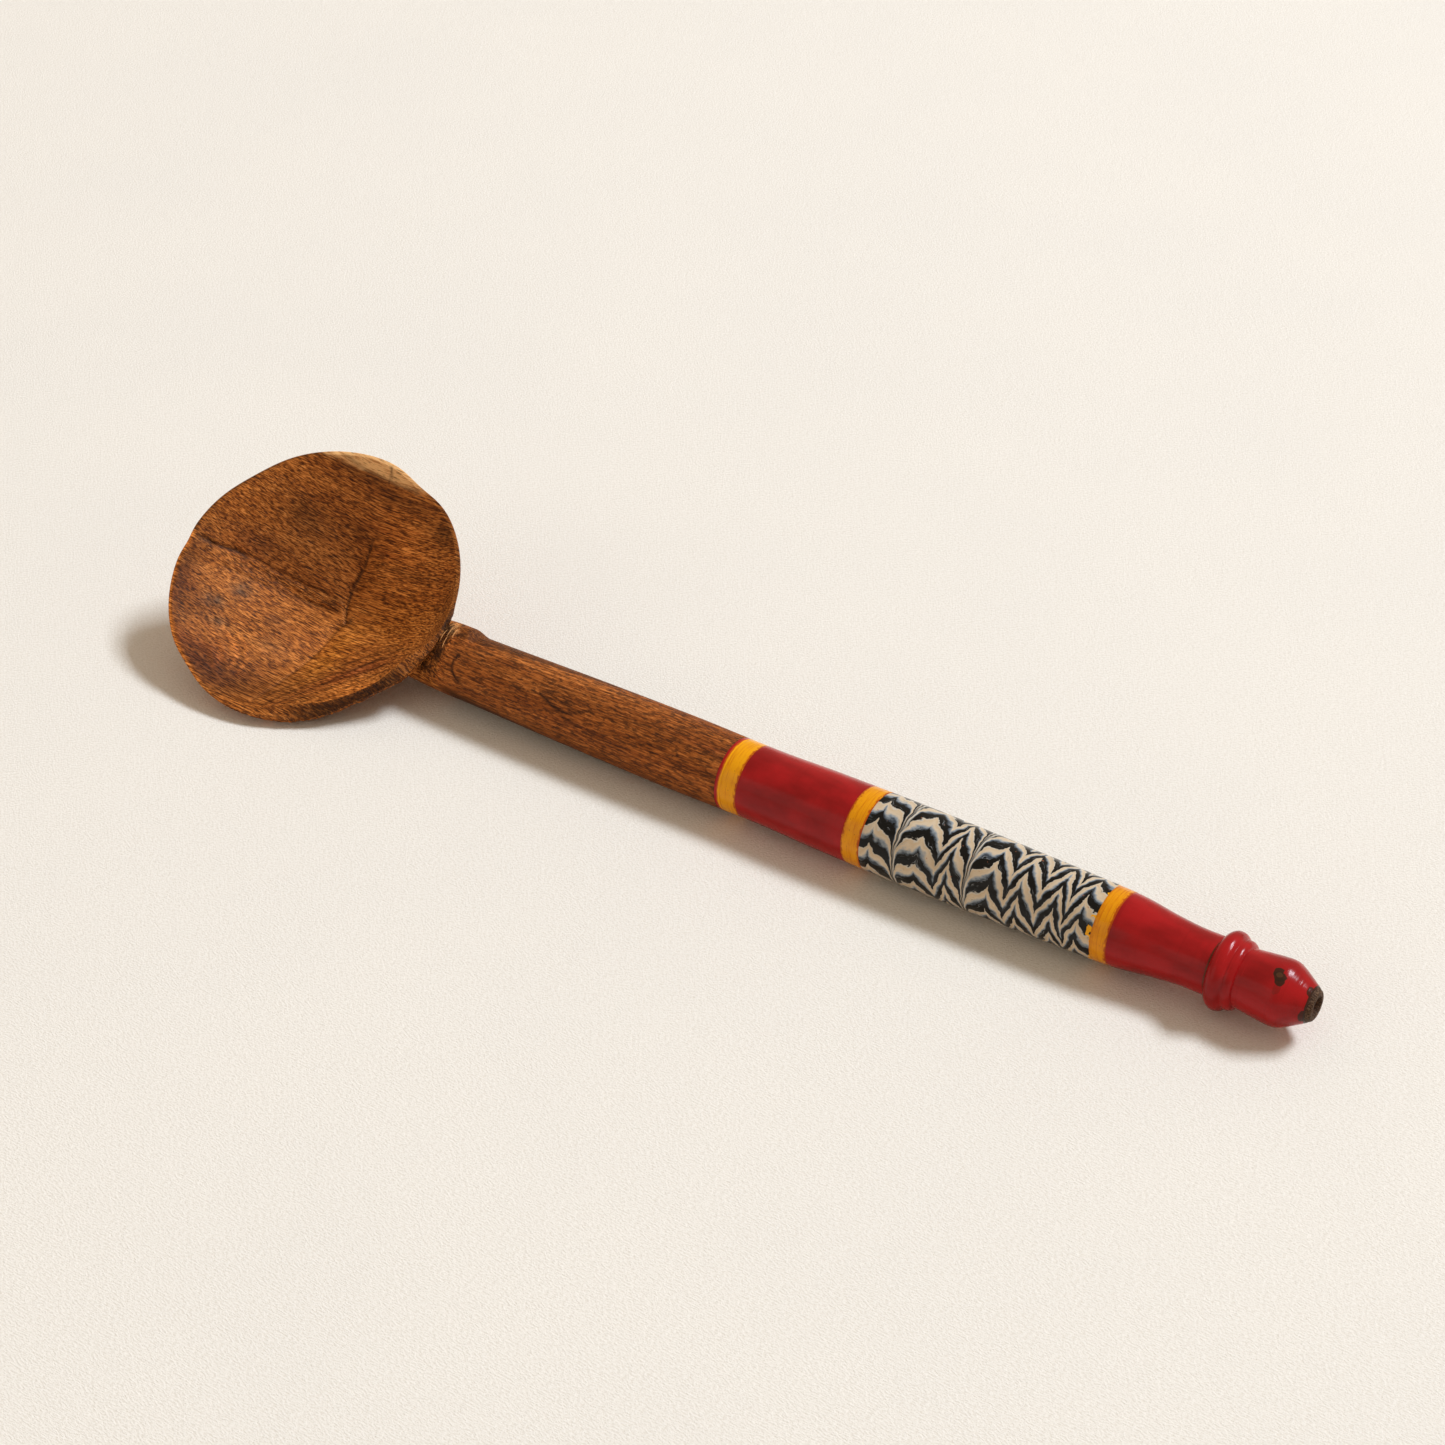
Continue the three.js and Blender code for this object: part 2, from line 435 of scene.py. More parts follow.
def handle_core():
    bare_end, _ = along_handle("lac_line_red")
    rebate = LAC_THICKNESS / 2
    edge = 0.02
    bare = np.arange(CORE_START, bare_end - edge, BARE_STEP)
    coated = np.concatenate(
        [np.arange(bare_end, TAPER_FROM, HIDDEN_STEP), np.arange(TAPER_FROM, FINIAL_COAT_END, TAPER_STEP)]
    )
    nose = np.linspace(FINIAL_COAT_END + edge, LENGTH_FROM_NECK - 0.2, 5)
    x = np.concatenate([bare, [bare_end - edge], coated, [FINIAL_COAT_END], nose, [LENGTH_FROM_NECK]])
    inset = np.concatenate(
        [np.zeros(len(bare) + 1), np.full(len(coated) + 1, rebate), np.full(len(nose), 0.12), [0.35]]
    )
    rings = turned_rings(x, handle_radius(x) - inset, WOOD_SIDES)
    return closed_solid("handle_core", square_neck(rings))


def centre_hole():
    """The cone left by the centre of the lathe."""
    past, radius = np.array(CENTRE_HOLE, float).T
    return closed_solid("centre_hole", turned_rings(LENGTH_FROM_NECK + past, radius, 48))


# ---- Carved bowl ----


def apart(degrees, middle):
    """How far angles are from a middle one, from -180 to 180."""
    return (degrees - middle + 180) % 360 - 180


def rim_pared(degrees, side):
    """How far the rim is pared at this angle, on its outside (1) or inside (2)."""
    total = 0
    for flat in RIM_FLATS:
        total = total + flat[side] * np.exp(-((apart(degrees, flat[0]) / flat[3]) ** 2))
    return total


def lip_drop(degrees):
    """How far the outside of the rim is worn down below its inner edge."""
    middle, depth, width = LIP_DROP
    return depth * np.exp(-((apart(degrees, middle) / width) ** 4))


def cut_swell(degrees, reach):
    """About 0 in a valley of the hollow and 1 in the middle of a cut."""
    turn = degrees % 360
    ends, middle, outer = np.array([*VALLEYS, VALLEYS[0]], float).T
    ends[-1] += 360
    turn = np.where(turn < ends[0], turn + 360, turn)
    i = np.clip(np.searchsorted(ends, turn, side="right") - 1, 0, len(VALLEYS) - 1)
    share = (turn - ends[i]) / (ends[i + 1] - ends[i])
    by_rim = smoothstep(0.45, 0.75, reach)
    rounding = (middle[i] * (1 - share) + middle[i + 1] * share) * (1 - by_rim)
    rounding += (outer[i] * (1 - share) + outer[i + 1] * share) * by_rim
    sine = np.sin(np.pi * share)
    return np.hypot(sine, rounding) - rounding * 0.7


def hollow_height(radius, degrees):
    """Height of the hollow below the rim."""
    share = radius / (BOWL_RADIUS - RIM_WALL)
    height = -BOWL_DEPTH + BOWL_DEPTH * share**HOLLOW_POWER
    reach = radius / BOWL_RADIUS
    bulge = FACET_SWELL * 4 * reach * np.clip(1 - reach, 0, None) * BOWL_DEPTH
    return np.where(height < 0, height + bulge * (cut_swell(degrees, reach) - 0.5), height)


def carved(radius, height, degrees, side, shift):
    """Points in the spoon's axes for a carved surface given about the bowl's axis."""
    reach = radius / BOWL_RADIUS
    pared = 1 - rim_pared(degrees, side) * reach**2 / BOWL_RADIUS
    shifted = np.where(height < 0, shift * (1 - reach), 0)
    x, y = from_polar(radius, degrees)
    flat = np.column_stack([(x * pared + shifted).ravel(), (y * pared).ravel(), height.ravel()])
    return bowl_to_spoon(flat).reshape(*radius.shape, 3)


BOWL_SIDES = 420
ROUND_RIM = np.linspace(0, 360, BOWL_SIDES, endpoint=False)
HOLLOW_RINGS = 80
UNDERSIDE_RINGS = 44


def lathe_place(points):
    """Where a point of the spoon lies on the drawing of the bowl, before paring and shifting."""
    drawn = spoon_to_bowl(points)[:, :2]
    reach = np.clip(polar(drawn)[0] / BOWL_RADIUS, 0, 1)
    drawn[:, 0] -= DEEPEST_SHIFT * (1 - reach)
    radius, degrees = polar(drawn)
    pared = 1 - rim_pared(degrees, 2) * (radius / BOWL_RADIUS) ** 2 / BOWL_RADIUS
    return drawn / pared[:, None]


# Marks in the hollow, on the drawing of the bowl: X towards the handle, Y across
FAR_CREASE = ((0, 22), (-0.2, 15), (-1.2, 9), (-0.6, 3), (1.5, -0.5))
LEFT_FIBRE = ((-31, -4), (-22, -2.4), (-12, -0.6), (-2, 1.6))
TORN_STRIP = ((-35, -0.8), (-29, -0.8), (-14, 1.8), (-3, 3))
KNIFE_CHATTER = ((-15, -27), (8, 7))  # middle and reach
# Creases: path, width and depth
CREASES = (
    (FAR_CREASE, 0.6, 0.42),
    ([(1.5, -0.5), (0.9, -8), (0.8, -22), (1.4, -37)], 0.6, 0.34),
    ([(-38.5, -0.6), (-34, 0.4), (-30, 2.1)], 0.6, 0.7),
    ([(-30, 2.1), (-18, 3.2), (-1, 4.4)], 0.6, 0.3),
    (LEFT_FIBRE, 0.6, 0.2),
)


def hollow_detail(place, spoon_points):
    """How far the tool's marks lower the hollow, in millimetres."""
    depth = np.zeros(len(place))
    for path, width, amount in CREASES:
        depth += amount * near_path(place, path, width)
    # Long soft waves left by the curved knife, and finer chatter over them
    depth += 0.16 * layered(spoon_points, (14, 7, 7), 11)
    depth += 0.05 * layered(spoon_points, (3.2, 1.1, 1.1), 12)
    # Torn fibres beside the left crease
    torn = near_path(place, TORN_STRIP, 2.4)
    depth += 0.22 * torn * noise(spoon_points, (4, 0.9, 0.9), 13)
    # Chatter of the knife, low on the near left
    rough = blob(place, *KNIFE_CHATTER)
    across = place[:, 0] * 0.64 + place[:, 1] * 0.77
    depth += 0.1 * rough * np.sin(across * TAU / 2.7 + 3 * noise(spoon_points, 6, 14))
    # Coarse ripples near the neck
    depth += 0.1 * blob(place, (33, 12), (6, 9)) * noise(spoon_points, (2, 2, 2), 15)
    return depth * smoothstep(39.5, 37, polar(place)[0])


def hollow_cutter():
    inside = BOWL_RADIUS - RIM_WALL
    share = np.linspace(0.004, 1, HOLLOW_RINGS)
    radius, angle = np.meshgrid(inside * share, ROUND_RIM, indexing="ij")
    surface = carved(radius, hollow_height(radius, angle), angle, 2, DEEPEST_SHIFT)
    flat = surface.reshape(-1, 3)
    down = bowl_to_spoon(np.array([[0, 0, -1.0]])) - bowl_to_spoon(np.zeros((1, 3)))
    flat += hollow_detail(lathe_place(flat), flat)[:, None] * down
    lip_radius = np.array([inside + 0.25, inside + 0.7, inside + 1.5])
    lip_height = np.array([0.25, 1.0, 14.0])
    radius, angle = np.meshgrid(lip_radius, ROUND_RIM, indexing="ij")
    height = np.repeat(lip_height[:, None], BOWL_SIDES, axis=1)
    lip = carved(radius, height, angle, 2, 0)
    return closed_solid("hollow_cutter", np.concatenate([surface, lip]))


UNDERSIDE_CUTS = 74
CUT_REACH = 5.6
CUT_STRETCH = 0.62  # cuts are longer along the grain
CUT_DEPTH = 0.4
GOLDEN_ANGLE = math.radians(137.5)


def hewn(x, y):
    """How deep the cuts of the adze go on the underside, 0 on the ridges between them."""
    number = np.arange(UNDERSIDE_CUTS)
    seed_radius = BOWL_RADIUS * np.sqrt((number + 0.5) / UNDERSIDE_CUTS)
    seed_x = seed_radius * np.cos(number * GOLDEN_ANGLE)
    seed_y = seed_radius * np.sin(number * GOLDEN_ANGLE)
    away = np.hypot((x[..., None] - seed_x) * CUT_STRETCH, y[..., None] - seed_y)
    return np.clip(1 - (away.min(axis=-1) / CUT_REACH) ** 2, 0, 1)


def bowl_blank():
    """The outside of the bowl, whole."""
    reach = np.linspace(0.006, 1, UNDERSIDE_RINGS)
    under_radius = (BOWL_RADIUS - RIM_UNDERCUT) * reach
    under_height = -KEEL_DEPTH + (KEEL_DEPTH - RIM_BAND) * reach**UNDERSIDE_POWER
    round_over = np.linspace(0, math.pi / 2, 4)[1:]
    band_height = np.linspace(-RIM_BAND, -RIM_EDGE, 7)[1:]
    band_radius = BOWL_RADIUS - RIM_UNDERCUT * (-band_height - RIM_EDGE) / (RIM_BAND - RIM_EDGE)
    top_radius = BOWL_RADIUS - RIM_EDGE + RIM_EDGE * np.cos(round_over)
    top_height = -RIM_EDGE + RIM_EDGE * np.sin(round_over)
    profile_radius = np.concatenate([under_radius, band_radius, top_radius])
    profile_height = np.concatenate([under_height, band_height, top_height])
    radius, angle = np.meshgrid(profile_radius, ROUND_RIM, indexing="ij")
    height = np.repeat(profile_height[:, None], BOWL_SIDES, axis=1)
    worn = lip_drop(angle) * smoothstep(-RIM_BAND - 2.5, 0, height)
    height -= worn
    radius -= worn * LIP_INWARDS
    cut = hewn(*from_polar(radius, angle)) * (CUT_DEPTH * smoothstep(-0.4, -2.5, height))
    surface = carved(radius * (1 - cut / BOWL_RADIUS), height * (1 - cut / KEEL_DEPTH), angle, 1, 0)
    flat = surface.reshape(-1, 3)
    # The near side of the rim is left rough from the saw
    level = spoon_to_bowl(flat)
    rough = outer_band(level) * smoothstep(-0.2, -0.9, level[:, 2])
    grain = noise(flat, (2.6, 0.9, 0.9), 41) + 0.6 * noise(flat, (1.3, 0.6, 0.6), 42)
    inwards = -level * (1, 1, 0) / np.maximum(polar(level)[0], 1)[:, None]
    level += inwards * (rough * (0.22 + 0.2 * grain))[:, None]
    flat[:] = bowl_to_spoon(level)
    return closed_solid("bowl_blank", np.concatenate([surface, rim_top()]))


def rim_top():
    """Rings over the top of the rim, from its outside to its inner edge and on over the mouth."""
    drop = lip_drop(ROUND_RIM)
    outer = BOWL_RADIUS - RIM_EDGE - rim_pared(ROUND_RIM, 1) - drop * LIP_INWARDS
    inner = BOWL_RADIUS - RIM_WALL + 0.4 - rim_pared(ROUND_RIM, 2)
    rings = []
    for share in (0.25, 0.5, 0.75, 1.0):
        radius = outer + (np.minimum(inner, outer - 0.2) - outer) * share
        level = np.column_stack([*from_polar(radius, ROUND_RIM), drop * (share - 1)])
        grain = noise(level, (1.6, 1.6, 4), 43) + 0.5 * noise(level, (0.8, 0.8, 4), 44)
        level[:, 2] -= 0.22 * drop * np.sin(math.pi * share) * (0.6 + grain)
        rings.append(bowl_to_spoon(level))
    over_mouth = np.column_stack([*from_polar(30, ROUND_RIM), np.zeros(BOWL_SIDES)])
    return np.array([*rings, bowl_to_spoon(over_mouth)])


def outer_band(level):
    """1 on the rough outside of the rim, on the near side, for points in the bowl's axes."""
    radius, degrees = polar(level)
    side = smoothstep(-128, -92, degrees) * smoothstep(18, 6, degrees)
    outside = smoothstep(BOWL_RADIUS * 0.8, BOWL_RADIUS * 0.84, radius)
    return side * outside * smoothstep(-9, -6, level[:, 2])


# Splinters lifted where the neck was cut down to the rim: start and end in the spoon's axes, and width
SPLINTERS = (
    ((3.1, 2.6, 9.95), (3.0, 7.0, 8.35), 0.5),
    ((4.8, 2.6, 9.85), (4.5, 5.4, 9.15), 0.42),
    ((1.2, 2.0, 10.1), (1.0, 5.0, 9.5), 0.40),
    ((1.8, 5.6, 9.2), (2.8, 7.9, 7.5), 0.36),
    ((2.2, 0.6, 10.2), (2.0, 4.4, 9.6), 0.32),
    ((3.8, -0.8, 10.0), (3.4, 2.4, 9.9), 0.32),
)
SPLINTER_BOW = 0.35
# Painted shade in the hollows between the rim and the neck: middle and reach
SHADED_CLEFTS = (((3.0, -2.9, 8.2), (2.2, 2.2, 1.2)), ((-0.4, -6.4, 6.2), (3, 2.2, 2)))


def splinter(start, end, width):
    """A thin sliver of wood, pointed at both ends and a little bowed."""
    share = np.linspace(0, 1, 12)
    angle = np.linspace(0, TAU, 6, endpoint=False)
    line = np.outer(1 - share, start) + np.outer(share, end)
    line[:, 2] += SPLINTER_BOW * np.sin(np.pi * share)
    thickness = width * np.sin(np.pi * np.clip(share, 0.04, 0.96)) ** 0.6
    rings = np.repeat(line[:, None], 6, axis=1)
    rings[..., 1] += np.outer(thickness, np.cos(angle))
    rings[..., 2] += 0.7 * np.outer(thickness, np.sin(angle))
    return closed_solid("splinter", rings)


def table_cutter():
    """Everything below the table."""
    thick, wide, long = 40, 100, 300
    corners = [(x, y) for x in (-long, long) for y in (-wide, wide)]
    level = np.array([(x, y, z) for x, y in corners for z in (-thick, 0)], float) * MM
    faces = [(0, 1, 3, 2), (4, 6, 7, 5), (0, 4, 5, 1), (2, 3, 7, 6), (0, 2, 6, 4), (1, 5, 7, 3)]
    return new_object("table_cutter", from_row(level), faces)


BARE_RADIUS = 9.25  # of the bare handle, on the whole


def unrolled(x, degrees):
    """The bare handle's surface laid out flat, in millimetres."""
    return np.column_stack([x, np.radians(degrees) * BARE_RADIUS])


# Cracks in the bare handle, painted as dark lines of shade: distance from the neck and degrees from its
# top, then width and strength
HANDLE_CRACKS = (
    ([(8.8, 36), (8.1, 48), (8.2, 61), (9.1, 70), (10.1, 77)], 0.37, 1.05),
    ([(10.4, 78), (11.0, 79)], 0.55, 1.0),
    ([(36.5, 46), (38.5, 50), (41.2, 57), (45.9, 59.5)], 0.37, 1.05),
    ([(45.9, 59.5), (49.7, 51), (52.5, 41)], 0.37, 0.95),
    ([(43, 62), (46.5, 68), (50, 74)], 0.3, 0.6),
    ([(27, 53), (30.5, 50)], 0.35, 0.8),
    ([(43.5, 47), (46.5, 51)], 0.25, 0.7),
    ([(44.2, 42), (46.5, 46)], 0.25, 0.7),
    ([(25, 13), (27.5, 12.5)], 0.35, 0.8),
)

# Dark lines of painted shade along the creases and cuts of the hollow: path, width and strength
HOLLOW_LINES = (
    (FAR_CREASE, 0.5, 0.9),
    ([(1.2, -1.5), (2.6, 0.4)], 0.9, 0.8),
    ([(0.9, -3), (0.8, -24), (1.3, -35)], 0.4, 0.6),
    ([(-38.5, -0.6), (-34, 0.4), (-30, 2.1), (-28, 1.6)], 0.6, 1.0),
    ([(-28, 2.6), (-14, 4.2), (-2, 4.4)], 0.45, 0.55),
    (LEFT_FIBRE, 0.45, 0.5),
    ([(-11, 12), (-7, 14.6), (-4, 16)], 0.35, 0.6),
    ([(1.0, 35.8), (1.5, 37.4), (0.8, 39.5)], 0.4, 0.9),
    ([(31.5, 9.6), (34, 8.6), (36.4, 9.2)], 0.4, 0.8),
    ([(-14, 37.2), (-6, 36.2), (4, 36.2), (14, 37.4)], 0.5, 0.6),
)

# Patches of colour in the hollow: middle and reach on the drawing of the bowl, and strength
GREY_PATCHES = (
    ((-24, -7), (2.2, 2.8), 1.1),
    ((-27, -14), (2.6, 2.2), 1.0),
    ((-22.5, -19), (2.8, 2.0), 0.8),
    ((-9, -17), (4, 3), 0.4),
    ((-13, -10), (4, 3), 0.3),
)
TONE_PATCHES = (
    ((-14, 14), (18, 13), -0.2),
    ((-27, 6.5), (7, 3), -0.2),
    ((-18.5, 19.5), (6, 4), -0.2),
    ((-3.3, 22.5), (5, 3), -0.18),
    ((7, 32.5), (10, 2), -0.2),
    ((24, 28), (9, 4), -0.2),
    ((-31, -21), (6, 7), -0.22),
    ((-8, 32), (16, 5), -0.08),
    ((-10, 35), (12, 1.2), -0.25),
    ((11, 22), (14, 12), 0.16),
    ((9, -7), (9, 7), 0.1),
    ((2, -27), (14, 8), -0.14),
    ((-19, -15), (12, 9), -0.02),
    ((-16, -34), (19, 7), -0.38),
    ((-38, -10), (3, 16), -0.25),
    ((36, 14), (3, 12), -0.16),
    ((28, 27), (8, 4), -0.14),
    ((18, 16.5), (16, 1.4), -0.2),
    ((32, 30), (10, 2), -0.25),
    ((16, 34), (14, 1.6), -0.2),
    ((-36, -16), (5, 12), -0.16),
    ((26, -22), (9, 5), 0.25),
)

# Paler and darker lines of the knife and of the growth rings, on the drawing of the bowl
TONE_LINES = (
    ([(-21, -19.5), (-16.5, -21.5), (-13, -25), (-11.5, -29.5)], 0.6, 0.35),
    ([(-18.5, -18.5), (-14, -20.5), (-10.5, -24.5), (-9, -30)], 0.5, 0.25),
    ([(-24, -21), (-19, -24), (-15.5, -28), (-14.5, -32)], 0.5, 0.2),
    ([(29, -4), (22.5, -9.5), (17, -16), (13.5, -23)], 0.5, -0.3),
    ([(31, -8), (24.5, -13.5), (19.5, -20), (17, -25)], 0.5, -0.25),
    ([(26, -2), (19, -7.5), (13, -14), (9, -21)], 0.45, -0.22),
    ([(33, -12), (27, -17), (22.5, -23)], 0.4, -0.2),
)


def paint_wood(wood):
    """Stores where the wood is lighter or darker (painted light and shade among it), red, grey, golden or
    pale with sapwood, and the painted shade in its creases, cracks and centre hole.
    """
    points = mesh_points(wood)
    along = points[:, 0]
    place = lathe_place(points)
    x, y = place.T
    in_bowl = along < HANDLE_FROM
    level = spoon_to_bowl(points)
    from_middle, round_rim = polar(level)
    normals = bowl_normals(wood)
    outwards = np.sum(normals[:, :2] * level[:, :2], axis=1) / np.maximum(from_middle, 1)
    hollow = smoothstep(0.5, 0.3, outwards) * (normals[:, 2] > 0) * in_bowl
    hollow *= polar(place)[0] < BOWL_RADIUS + 0.5
    lip = BOWL_RADIUS - RIM_WALL + 0.3 - rim_pared(round_rim, 2)
    over_lip = smoothstep(-0.2, 0.3, from_middle - lip) * (level[:, 2] > -RIM_BAND)
    hollow *= 1 - over_lip
    tone = np.full(len(points), 0.5)
    for middle, reach, amount in TONE_PATCHES:
        tone += hollow * amount * blob(place, middle, reach)
    for path, width, amount in TONE_LINES:
        tone += hollow * amount * near_path(place, path, width)
    grey = sum(amount * blob(place, middle, reach) for middle, reach, amount in GREY_PATCHES)
    grey *= hollow * (0.75 + 0.5 * noise(points, (2, 1, 1), 31))
    low_left = blob(place, (-20, -31), (17, 7)) + 0.8 * blob(place, (-36, -16), (4, 9))
    red = hollow * low_left * (0.8 + 0.4 * noise(points, (6, 2, 2), 32))
    # Growth rings cut through on the near side, as arcs about a point by the handle
    arc = np.hypot(x - 38, y + 38)
    arc_noise = noise(points, (7, 7, 7), 33)
    bands = np.sin((arc + 0.8 * arc_noise) * TAU / 3.1)
    near_right = smoothstep(0, 6, x) * smoothstep(0, -5, y) * hollow
    tone -= 0.2 * near_right * smoothstep(0.1, 0.8, bands)
    purple = near_right * blob(np.column_stack([arc, x]), (29.6, 20), (3.0, 10))
    red = red + purple + 0.5 * hollow * blob(place, (-28, 6), (7, 3))
    tone -= 0.08 * purple
    gold = 0.8 * hollow * blob(place, (6, -12), (5, 10)) + 0.4 * hollow * blob(place, (18, 5), (14, 8))
    sap_edge = y + 0.05 * np.clip(-x, 0, None) + 0.6 * noise(points, (5, 1, 1), 34)
    sap = smoothstep(36.0, 37.2, sap_edge) * smoothstep(17, 5, x) * in_bowl
    tone -= 0.27 * over_lip * (1 - sap) * in_bowl
    # A painted highlight along the inner edge of the rim, on its near half
    by_lip = np.exp(-(((from_middle - lip + 0.3) / 0.35) ** 2))
    tone += 0.16 * by_lip * (round_rim < 5) * (level[:, 2] > -1.5)
    # Roughness: torn fibres by the left crease, the outside of the near rim, and the cut neck
    band = outer_band(level) * (1 - hollow)
    torn = near_path(place, TORN_STRIP, 2.4)
    neck = blob(points, (1.5, 1, 9.5), (3.6, 7, 3))
    rough = 0.9 * band + 0.8 * hollow * torn + 0.8 * neck + 0.5 * hollow * blob(place, *KNIFE_CHATTER)
    # Darker on the rough outside of the near rim: rough sawn wood, and painted shade as that side faces
    # away from the light
    tone -= 0.2 * band * in_bowl
    paler = 0.5 * smoothstep(-54, -78, round_rim) + 0.35 * smoothstep(-26, -12, round_rim)
    tone += np.maximum(over_lip, band) * paler * (round_rim < 5)
    tone -= 0.3 * smoothstep(HANDLE_FROM, 8, along)
    # Painted shade among the splinters at the cut neck
    tone -= 0.3 * blob(points, (2.6, 3.5, 9.3), (2.6, 5, 2))
    for start, end, width in SPLINTERS:
        middle = (np.array(start) + end) / 2 + (0, 0, SPLINTER_BOW)
        lifted = near_path(points, (start, middle, end), 1.25 * width)
        sap = np.maximum(sap, 0.7 * lifted)
        tone += 0.6 * lifted
        rough *= 1 - 0.9 * lifted
    # Painted shade between the rim and the neck
    for middle, reach in SHADED_CLEFTS:
        tone -= 0.6 * blob(points, middle, reach)
    groove_shade = np.zeros(len(points))
    for path, width, amount in HOLLOW_LINES:
        broken = 0.75 + 0.25 * noise(points, 1.2, 35)
        groove_shade = np.maximum(groove_shade, hollow * amount * broken * near_path(place, path, width))
    # The bare handle
    round_axis = degrees_round(points)
    around = unrolled(along, round_axis)
    on_handle = along > HANDLE_FROM
    # Painted shade on the underside of the bare handle, and on a band between its top and its near side
    tone -= 0.18 * on_handle * smoothstep(85, 115, round_axis)
    tone -= 0.1 * on_handle * smoothstep(6, 20, round_axis) * smoothstep(52, 38, round_axis)
    red = red + 0.4 * on_handle + 0.15 * hollow * blob(place, (-14, 14), (18, 13))
    for path, width, amount in HANDLE_CRACKS:
        crack = near_path(around, unrolled(*np.array(path, float).T), width)
        groove_shade = np.maximum(groove_shade, on_handle * amount * crack)
    red = red + 0.5 * on_handle * blob(around, unrolled(88, 27), (10, 0.7))
    # The sawn tip, and painted shade in the hole in it
    grey = grey + smoothstep(FINIAL_COAT_END - 1, FINIAL_COAT_END, along)
    tone -= 0.25 * (along > FINIAL_COAT_END - 1)
    # Painted shade in the centre hole
    from_axis = np.hypot(points[:, 1], points[:, 2])
    hole = (along > LENGTH_FROM_NECK - 9) * smoothstep(2.5, 1.9, from_axis)
    groove_shade = np.maximum(groove_shade, hole)
    stored = dict(tone=tone, grey=grey, red=red, gold=gold, sap=sap, groove_shade=groove_shade, rough=rough)
    for name, values in stored.items():
        store(wood, name, values)


def make_wood(material):
    wood = bowl_blank()
    combine(wood, handle_core(), "UNION")
    combine(wood, hollow_cutter(), "DIFFERENCE")
    for sliver in SPLINTERS:
        combine(wood, splinter(*sliver), "UNION")
    combine(wood, centre_hole(), "DIFFERENCE")
    combine(wood, table_cutter(), "DIFFERENCE")
    wood.name = wood.data.name = "carved_wood"
    paint_wood(wood)
    finish_surface(wood, 42)
    take_place(wood, "wooden_body", material)


# ---- Lac coats ----


def make_coat(name, node, slot, material, starts, ends):
    """A coat of lac on the wood, from its own end of the neighbouring coats to the next."""
    rounding = 0.04
    x = np.arange(starts + 0.1, ends - 0.1, LAC_STEP)
    bead_x = np.arange(BEADS_START, BEADS_END, BEAD_STEP)
    bead_x = bead_x[(bead_x > starts) & (bead_x < ends)]
    x = np.union1d(x, bead_x)
    x = np.concatenate([[starts + 0.02], x, [ends - 0.1, ends - 0.02]])
    edge = np.minimum(x - starts, ends - x)
    outside = handle_radius(x) - rounding * np.exp(-((edge / 0.12) ** 2))
    inside = handle_radius(x) - LAC_THICKNESS
    out_rings = turned_rings(x, outside, LAC_SIDES)
    in_rings = turned_rings(x[::-1], inside[::-1], LAC_SIDES)
    rings = np.concatenate([out_rings, in_rings])
    coat = new_object(name, rings.reshape(-1, 3), grid_faces(len(rings), LAC_SIDES, closed=True))
    finish_surface(coat, 50)
    take_place(coat, node, material)


# ---- Materials ----


